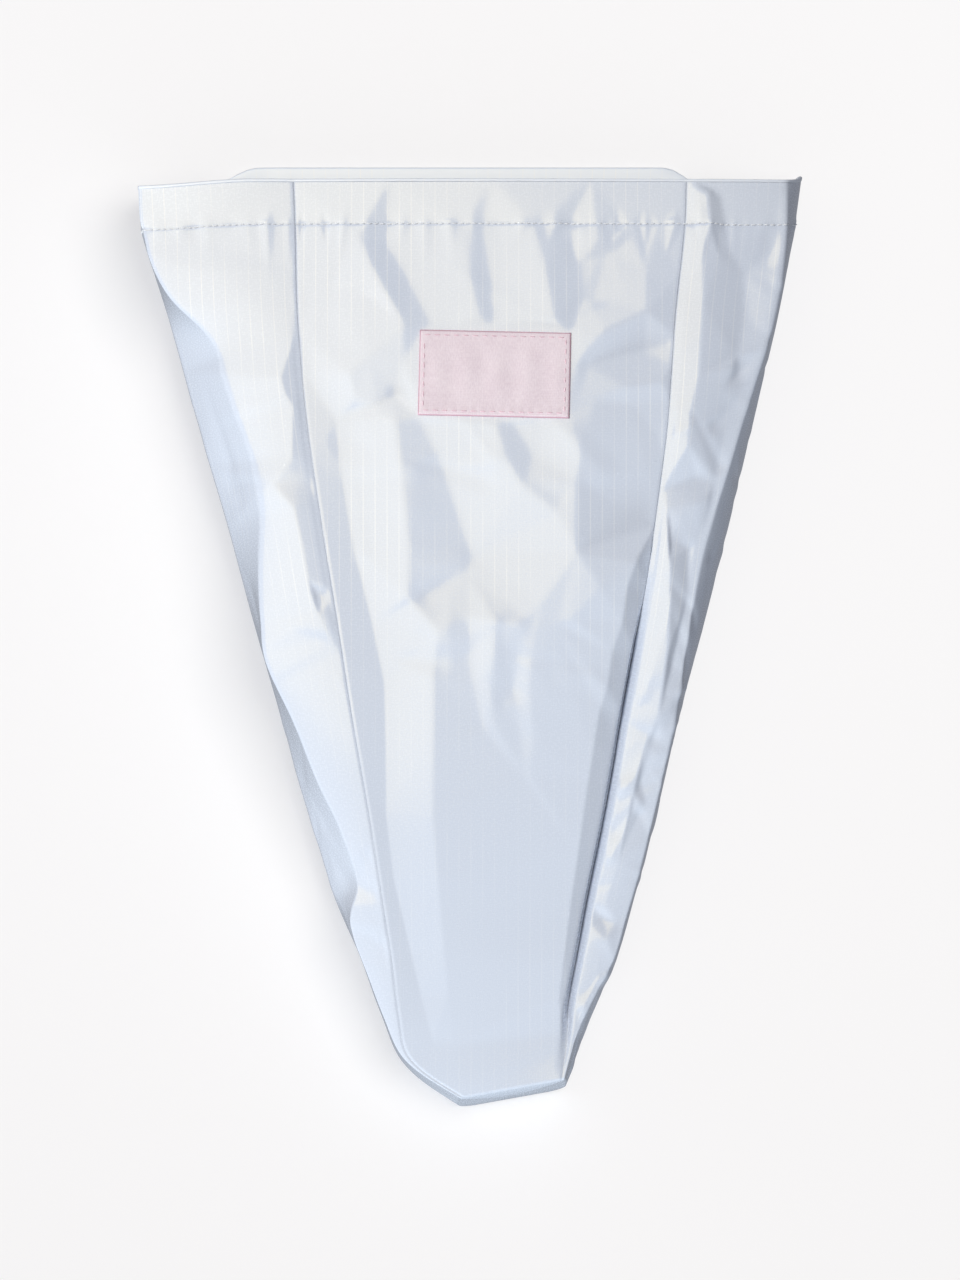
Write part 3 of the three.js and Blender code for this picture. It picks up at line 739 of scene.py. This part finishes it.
def streaks(tree, u, v, across, along):
    """Noise drawn out along one way of the cloth, with its scales per metre."""
    x = calculate(tree, "MULTIPLY", u, across)
    y = calculate(tree, "MULTIPLY", v, along)
    stretched = joined(tree, "ShaderNodeCombineXYZ", {"X": x, "Y": y}).outputs[0]
    inputs = {"Vector": stretched, "Scale": 1.0, "Detail": NOISE_DETAIL}
    return joined(tree, "ShaderNodeTexNoise", inputs).outputs["Fac"]


def ripstop_material(name, plain, doubled, line, rough):
    """Coated ripstop: a fine weave with a grid of thicker threads, whiter where it is doubled at the hem."""
    material, tree, shader = new_material(name)
    u, v = flat_cloth(tree)
    warp_line = mapped(tree, calculate(tree, "PINGPONG", u, GRID_PITCH / 2), GRID_WIDTHS, (1, 0))
    weft_line = mapped(tree, calculate(tree, "PINGPONG", v, GRID_PITCH / 2), GRID_WIDTHS, (1, 0))
    warp = streaks(tree, u, v, *WEAVE_SCALES)
    weft = streaks(tree, u, v, *WEAVE_SCALES[::-1])
    grain = calculate(tree, "ADD", warp, weft)
    cloud = streaks(tree, u, v, *CLOUD_SCALES)
    thread = calculate(tree, "MAXIMUM", warp_line, calculate(tree, "MULTIPLY", weft_line, WEFT_SHARE))
    uneven = calculate(tree, "MULTIPLY", thread, mapped(tree, cloud, CLOUD_RANGE, GRID_SHARES))
    uneven = calculate(tree, "MULTIPLY", uneven, mapped(tree, v, GRID_FADES, (1, GRID_FAINT)))
    tone = calculate(tree, "ADD", uneven, mapped(tree, grain, GRAIN_RANGE, GRAIN_TONES))
    ground = blended(tree, mapped(tree, v, HEM_BLEND, (1, 0)), (*plain, 1), (*doubled, 1))
    tree.links.new(blended(tree, tone, ground, (*line, 1)), shader.inputs["Base Color"])
    roughness = mapped(tree, grain, GRAIN_RANGE, [rough + step for step in GRAIN_ROUGHNESS])
    tree.links.new(roughness, shader.inputs["Roughness"])
    height = calculate(tree, "ADD", calculate(tree, "MULTIPLY", thread, THREAD_HEIGHT), grain)
    bump = joined(tree, "ShaderNodeBump", {**WEAVE_BUMP, "Height": height})
    tree.links.new(bump.outputs[0], shader.inputs["Normal"])
    shader.inputs["Specular IOR Level"].default_value = CLOTH_SPECULAR
    shader.inputs["Coat Weight"].default_value = COAT_WEIGHT
    shader.inputs["Coat Roughness"].default_value = COAT_ROUGHNESS
    return material


def label_material():
    """Woven label: a fine even rib with soft unevenness and a darker rim."""
    material, tree, shader = new_material("label_weave")
    u, v = flat_cloth(tree)
    rib = calculate(tree, "PINGPONG", v, LABEL_RIB)
    weave = streaks(tree, u, v, *LABEL_WEAVE_SCALES)
    cloud = streaks(tree, u, v, *LABEL_CLOUD_SCALES)
    weave_tone = mapped(tree, weave, LABEL_NOISE_RANGE, LABEL_WEAVE_TONES)
    cloud_tone = mapped(tree, cloud, LABEL_NOISE_RANGE, LABEL_CLOUD_TONES)
    tone = calculate(tree, "ADD", weave_tone, cloud_tone)
    colour = blended(tree, tone, (*LABEL_DARK, 1), (*LABEL_LIGHT, 1))
    rims = []
    for way, size in ((u, LABEL_WIDTH), (v, LABEL_HEIGHT)):
        band = ((size / 2 - LABEL_RIM) * MM, size / 2 * MM)
        rims.append(mapped(tree, calculate(tree, "ABSOLUTE", way), band, (0, 1)))
    rimmed = blended(tree, calculate(tree, "MAXIMUM", *rims), colour, (*LABEL_RIM_COLOUR, 1))
    tree.links.new(rimmed, shader.inputs["Base Color"])
    height = calculate(tree, "ADD", calculate(tree, "DIVIDE", rib, LABEL_RIB), weave)
    bump = joined(tree, "ShaderNodeBump", {**LABEL_BUMP, "Height": height})
    tree.links.new(bump.outputs[0], shader.inputs["Normal"])
    shader.inputs["Roughness"].default_value = LABEL_ROUGHNESS
    return material


def thread_material(name, colour):
    """Sewing thread with a twist along it."""
    material, tree, shader = new_material(name)
    place = joined(tree, "ShaderNodeTexCoord").outputs["Object"]
    inputs = {"Vector": place, "Scale": TWIST_SCALE, "Detail": NOISE_DETAIL}
    twist = joined(tree, "ShaderNodeTexNoise", inputs).outputs["Fac"]
    darker = tuple(TWIST_SHADE * channel for channel in colour)
    tree.links.new(blended(tree, twist, (*darker, 1), (*colour, 1)), shader.inputs["Base Color"])
    shader.inputs["Roughness"].default_value = THREAD_ROUGHNESS
    return material


ripstop = ripstop_material("ripstop", PLAIN_CLOTH, DOUBLED_CLOTH, GRID_THREAD, rough=0.26)
# The hem's colour is partly its whiter doubled cloth and partly painted light over the shaded inside of the
# back rim
hem_ripstop_painted_light = ripstop_material("hem_ripstop_painted_light", HEM_WHITE_AND_PAINTED_LIGHT, HEM_WHITE_AND_PAINTED_LIGHT, HEM_GRID_THREAD, rough=0.40)
label_weave = label_material()
white_thread = thread_material("white_thread", WHITE_THREAD)
pink_thread = thread_material("pink_thread", PINK_THREAD)

# The four panels, as closed sheets of cloth
rows = np.concatenate([
    np.linspace(0, STITCHING_BAND[0], ROW_COUNTS[0], endpoint=False),
    np.linspace(*STITCHING_BAND, ROW_COUNTS[1], endpoint=False),
    np.linspace(STITCHING_BAND[1], LENGTH, ROW_COUNTS[2]),
])
cloths = {panel: cloth_panel(panel, rows) for panel in PANELS}
pieces = {}
for panel, cloth in cloths.items():
    flat_place = np.stack([cloth.unrolled, np.broadcast_to(rows[:, None], cloth.unrolled.shape)], axis=-1)
    if panel == "front":
        flat_place[..., 0] = cloth.points[..., 0]
    inner = cloth.points - cloth.normals * CLOTH
    pieces[panel] = wall(f"{panel}_panel_cloth", cloth.points, inner, FACING[panel], ripstop,
                         flat_place.reshape(-1, 2))
    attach(pieces[panel], "root")
    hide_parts(f"{panel}_panel")

# The panels in their order round the bag, and whether each is followed from its far edge
ROUND_BAG = (("front", False), ("right", False), ("back", True), ("left", True))


def round_bag(steps, along):
    """Places and directions right round the bag at one distance from the rim."""
    points = []
    normals = []
    for panel, turned in ROUND_BAG:
        across = np.linspace(0, 1, steps[panel], endpoint=False)
        if turned:
            across = 1 - across
        place, out = at(cloths[panel], across, np.full(len(across), along))
        points.append(place)
        normals.append(out)
    return np.concatenate(points), np.concatenate(normals)


# Mouth hem: the fold over the rim and the inner layer down to the stitching, as (depth, along)
HEM_PROFILE = [
    (-0.25, 1.6), (-0.35, 0.8), (-0.15, 0.1), (0.5, -0.15), (1.2, 0.1), (1.45, 0.9), (1.45, 4), (1.4, 9),
    (1.35, 15), (1.15, HEM_LINE - 1), (0.95, HEM_LINE), (0.6, HEM_LINE), (0.7, HEM_LINE - 1), (0.8, 15),
    (0.85, 9), (0.85, 4), (0.75, 1.8), (0.2, 1.2),
]
HEM_STEPS = {"front": 90, "right": 60, "back": 40, "left": 60}


def hem_ring(depth, along):
    """A ring round the mouth, sunk into the cloth by a depth. A place before the rim stands out of it."""
    points, normals = round_bag(HEM_STEPS, max(along, 0.0))
    points = points - normals * depth
    points[:, 1] -= min(along, 0.0)
    return points


hem_rings = np.array([hem_ring(depth, along) for depth, along in HEM_PROFILE])
hem_count = hem_rings.shape[1]
hem_index = np.arange(hem_rings.shape[0] * hem_count).reshape(-1, hem_count)
hem_next = np.roll(hem_index, -1, axis=0)
hem_faces = np.stack(
    [hem_index, hem_next, np.roll(hem_next, -1, axis=1), np.roll(hem_index, -1, axis=1)], axis=-1
).reshape(-1, 4)
hem_girth = travelled(hem_rings[0])
hem_along = np.array([along for _, along in HEM_PROFILE])
hem_uv = np.stack(np.meshgrid(hem_girth, hem_along), axis=-1).reshape(-1, 2)
hem = new_mesh("mouth_hem_cloth", hem_rings.reshape(-1, 3), hem_faces.tolist(), hem_ripstop_painted_light, hem_uv)
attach(hem, "root")
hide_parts("mouth_hem")

# Base: a small plate of cloth that closes the narrow end, in rings that shrink to its middle
BASE_RINGS = (1.0, 0.985, 0.95, 0.85, 0.7, 0.5, 0.3, 0.12)
BASE_SWELL = 1.4
BASE_STEPS = {"front": 40, "right": 24, "back": 24, "left": 24}


def base_plate():
    loop, _ = round_bag(BASE_STEPS, LENGTH)
    middle = loop.mean(axis=0)
    out = unit(np.array([BASE_SKEW, -1, BASE_LEAN]))
    rings = [middle + (loop - middle) * share + out * BASE_SWELL * (1 - share**2) for share in BASE_RINGS]
    rings += [ring - out * CLOTH for ring in rings[::-1]]
    points = np.concatenate(rings)
    index = np.arange(len(points)).reshape(-1, len(loop))
    following = np.roll(index, -1, axis=1)
    centre = len(BASE_RINGS) - 1
    strips = np.delete(np.arange(len(rings) - 1), centre)
    quads = np.stack([index[strips], index[strips + 1], following[strips + 1], following[strips]], axis=-1)
    rim = np.stack([index[-1], index[0], following[0], following[-1]], axis=-1)
    faces = quads.reshape(-1, 4).tolist() + rim.tolist()
    faces.append(index[centre][::-1].tolist())
    faces.append(index[centre + 1].tolist())
    flat = np.stack([points[:, 0], LENGTH + points[:, 2]], axis=-1)
    return new_mesh("base_panel_cloth", points, faces, ripstop, flat)


base = base_plate()
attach(base, "root")
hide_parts("base_panel")

# Label: a woven patch that follows the front panel, with a slight wave and rounded edges
LABEL_COLUMNS = 60
LABEL_ROWS = 34
LABEL_WAVE = 0.25
LABEL_WAVE_TURNS = (0.42, 0.1)
LABEL_WAVE_START = 1
LABEL_WAVE_INSET = 6
LABEL_ROUND = 0.3
LABEL_ROUND_WIDTH = 0.5
LABEL_SINK = 0.4


def on_label(u, v):
    """Places and directions on the front panel under a place on the label, from its middle."""
    x = LABEL_X + u * math.cos(LABEL_TURN) - v * math.sin(LABEL_TURN)
    along = LABEL_ALONG + u * math.sin(LABEL_TURN) + v * math.cos(LABEL_TURN)
    section = section_at(along)
    across = (x - section["left_seam"]) / (section["right_seam"] - section["left_seam"])
    return at(cloths["front"], across, along)


label_u, label_v = np.meshgrid(
    np.linspace(-LABEL_WIDTH / 2, LABEL_WIDTH / 2, LABEL_COLUMNS + 1),
    np.linspace(-LABEL_HEIGHT / 2, LABEL_HEIGHT / 2, LABEL_ROWS + 1),
)
label_points, label_normals = on_label(label_u, label_v)
label_edge = np.minimum(LABEL_WIDTH / 2 - np.abs(label_u), LABEL_HEIGHT / 2 - np.abs(label_v))
wave_u = np.sin(label_u * LABEL_WAVE_TURNS[0] + LABEL_WAVE_START)
wave_v = np.cos(label_v * LABEL_WAVE_TURNS[1])
label_wave = LABEL_WAVE * wave_u * wave_v * smoothstep(label_edge, 0, LABEL_WAVE_INSET)
label_round = LABEL_ROUND * np.exp(-label_edge / LABEL_ROUND_WIDTH)
label_top = LABEL_LIFT + LABEL_CLOTH + label_wave - label_round
label_under = LABEL_LIFT - LABEL_SINK
label = wall(
    "label_cloth",
    label_points + label_normals * label_top[..., None],
    label_points + label_normals * label_under,
    FACING["front"],
    label_weave,
    np.stack([label_u, label_v], axis=-1).reshape(-1, 2),
)
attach(label, "root")
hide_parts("label")

# Stitches: short threads that rise out of the cloth and go back into it
Stitch = namedtuple("Stitch", "pitch length radius")
HEM_STITCH = Stitch(pitch=3.3, length=2.8, radius=0.38)
LABEL_STITCH = Stitch(pitch=4.7, length=3.0, radius=0.28)
HEM_STITCH_STEPS = dict.fromkeys(PANELS, 150)
LABEL_STITCH_STEPS = 60
LABEL_STITCH_INSET = 2.4
STITCH_RINGS = 5
STITCH_SIDES = 6
STITCH_RISE = 1.7
STITCH_SINK = 0.7
STITCH_THIN = 0.65


def stitch_row(name, points, normals, stitch, material):
    """A row of stitches along a line of points in millimetres."""
    reached = travelled(points)
    starts = np.arange(0, reached[-1] - stitch.length, stitch.pitch)
    t = np.linspace(0, 1, STITCH_RINGS)
    where = starts[:, None] + t * stitch.length
    centre = np.stack([np.interp(where, reached, points[:, k]) for k in range(3)], axis=-1)
    up = np.stack([np.interp(where, reached, normals[:, k]) for k in range(3)], axis=-1)
    ahead = unit(np.gradient(centre, axis=1))
    side = unit(np.cross(ahead, up))
    up = np.cross(side, ahead)
    arch = np.sin(math.pi * t)
    height = stitch.radius * (STITCH_RISE * arch - STITCH_SINK)
    centre = centre + up * height[None, :, None]
    thick = stitch.radius * lerp(STITCH_THIN, 1, arch)
    angle = np.linspace(0, 2 * math.pi, STITCH_SIDES, endpoint=False)
    spoke = side[:, :, None] * np.cos(angle)[:, None] + up[:, :, None] * np.sin(angle)[:, None]
    mesh_points = (centre[:, :, None] + spoke * thick[None, :, None, None]).reshape(-1, 3)
    ring = np.arange(STITCH_SIDES)
    after = np.roll(ring, -1)
    faces = []
    for s in range(len(starts)):
        first = s * STITCH_RINGS * STITCH_SIDES
        for k in range(STITCH_RINGS - 1):
            low = first + k * STITCH_SIDES
            high = low + STITCH_SIDES
            faces += np.stack([low + ring, high + ring, high + after, low + after], axis=-1).tolist()
        faces.append((first + ring).tolist())
        faces.append((first + (STITCH_RINGS - 1) * STITCH_SIDES + ring[::-1]).tolist())
    row = new_mesh(name, mesh_points, faces, material)
    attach(row, "root")
    return row


hem_stitches = stitch_row("hem_stitching", *round_bag(HEM_STITCH_STEPS, HEM_LINE), HEM_STITCH, white_thread)

half_u = LABEL_WIDTH / 2 - LABEL_STITCH_INSET
half_v = LABEL_HEIGHT / 2 - LABEL_STITCH_INSET
corners = np.array([(-1, -1), (1, -1), (1, 1), (-1, 1), (-1, -1)]) * (half_u, half_v)
shares = np.linspace(0, 1, LABEL_STITCH_STEPS, endpoint=False)[:, None]
path = np.concatenate([lerp(a, b, shares) for a, b in zip(corners, corners[1:])])
stitch_points, stitch_normals = on_label(path[:, 0], path[:, 1])
stitch_points = stitch_points + stitch_normals * (LABEL_LIFT + LABEL_CLOTH)
label_stitches = stitch_row("label_stitching", stitch_points, stitch_normals, LABEL_STITCH, pink_thread)

# Each panel's cloth and how it is held, taken in turn; nothing is done with them
for panel, held in (("front", "draped"), ("left", "draped"), ("right", "draped"), ("back", "laid")):
    cloth = cloths[panel]

# Camera: straight above, with the photo's framing
CAMERA_PLACE = (4.53, -0.88, 2400)
VIEW_HALF_HEIGHT = 320
VIEW_HEIGHT_ABOVE_FLOOR = 40
SENSOR = 36
camera_data = bpy.data.cameras.new("camera")
camera_data.sensor_width = SENSOR
camera_data.lens = SENSOR / 2 * (CAMERA_PLACE[2] - VIEW_HEIGHT_ABOVE_FLOOR) / VIEW_HALF_HEIGHT
camera = bpy.data.objects.new("camera", camera_data)
camera.location = Vector(CAMERA_PLACE) * MM
bpy.context.scene.collection.objects.link(camera)
bpy.context.scene.camera = camera

# Floor: a plain pale sheet, in metres
FLOOR_HALF = 4
FLOOR_DROP = 0.0005
FLOOR_LOOK = {"Base Color": (0.93, 0.93, 0.93, 1), "Roughness": 0.9, "Specular IOR Level": 0.1}
floor_corners = [
    (-FLOOR_HALF, -FLOOR_HALF, 0), (FLOOR_HALF, -FLOOR_HALF, 0),
    (FLOOR_HALF, FLOOR_HALF, 0), (-FLOOR_HALF, FLOOR_HALF, 0),
]
floor_mesh = bpy.data.meshes.new("floor")
floor_mesh.from_pydata(floor_corners, [], [(0, 1, 2, 3)])
floor = bpy.data.objects.new("floor", floor_mesh)
floor.location.z = -FLOOR_DROP
bpy.context.scene.collection.objects.link(floor)
floor_material, _, floor_shader = new_material("pale_floor")
for socket, value in FLOOR_LOOK.items():
    floor_shader.inputs[socket].default_value = value
floor_mesh.materials.append(floor_material)
floor.visible_diffuse = False
floor.visible_glossy = False

# Lights: the bag and the floor are lit apart from each other
WORLD_COLOUR = (0.24, 0.25, 0.28, 1)
bag_group = bpy.data.collections.new("lit_with_the_bag")
for piece in (*pieces.values(), hem, base, label, hem_stitches, label_stitches):
    bag_group.objects.link(piece)
floor_group = bpy.data.collections.new("lit_with_the_floor")
floor_group.objects.link(floor)


def area_light(name, place, size, watts, colour, group, target=(0, 0, 0), shades=True, shines=True,
               shadows=True):
    """A light panel, in metres, that faces a target and shades, or shines on, one group of pieces."""
    data = bpy.data.lights.new(name, "AREA")
    data.shape = "RECTANGLE"
    data.size, data.size_y = size
    data.energy = watts
    data.color = colour
    data.use_shadow = shadows
    light = bpy.data.objects.new(name, data)
    light.location = place
    aim = Vector(target) - light.location
    light.rotation_mode = "QUATERNION"
    light.rotation_quaternion = aim.to_track_quat("-Z", "Y")
    light.light_linking.receiver_collection = group
    light.visible_diffuse = shades
    light.visible_glossy = shines
    bpy.context.scene.collection.objects.link(light)


area_light("key", place=(-0.85, 0.52, 2.4), size=(0.55, 0.55), watts=46.3, colour=(1.0, 0.99, 0.95),
           group=bag_group, shines=False)
area_light("low_fill", place=(-0.3, -2.2, 0.2), size=(1.2, 0.4), watts=41, colour=(0.87, 0.96, 1.0),
           group=bag_group, shines=False)
area_light("left_fill", place=(-2.2, 0.2, 0.1), size=(1.2, 0.4), watts=15, colour=(0.94, 0.98, 1.0),
           group=bag_group, shines=False)
area_light("sheen_panel", place=(-0.88, 0.675, 2.4), size=(3.15, 2.4), watts=39.5, colour=(1.0, 0.78, 0.3),
           group=bag_group, target=(0, 0.675, 0), shades=False)
area_light("floor_light", place=(1.3, 0.7, 3.8), size=(2.3, 2.3), watts=54, colour=(1.0, 0.972, 0.93),
           group=floor_group)
area_light("floor_fill", place=(-0.5, 0.2, 3.8), size=(2.3, 2.3), watts=82, colour=(1.0, 0.972, 0.94),
           group=floor_group, shadows=False)

world = bpy.data.worlds.new("world")
world.use_nodes = True
world.node_tree.nodes["Background"].inputs["Color"].default_value = WORLD_COLOUR
bpy.context.scene.world = world
bpy.context.scene.view_settings.view_transform = "Standard"
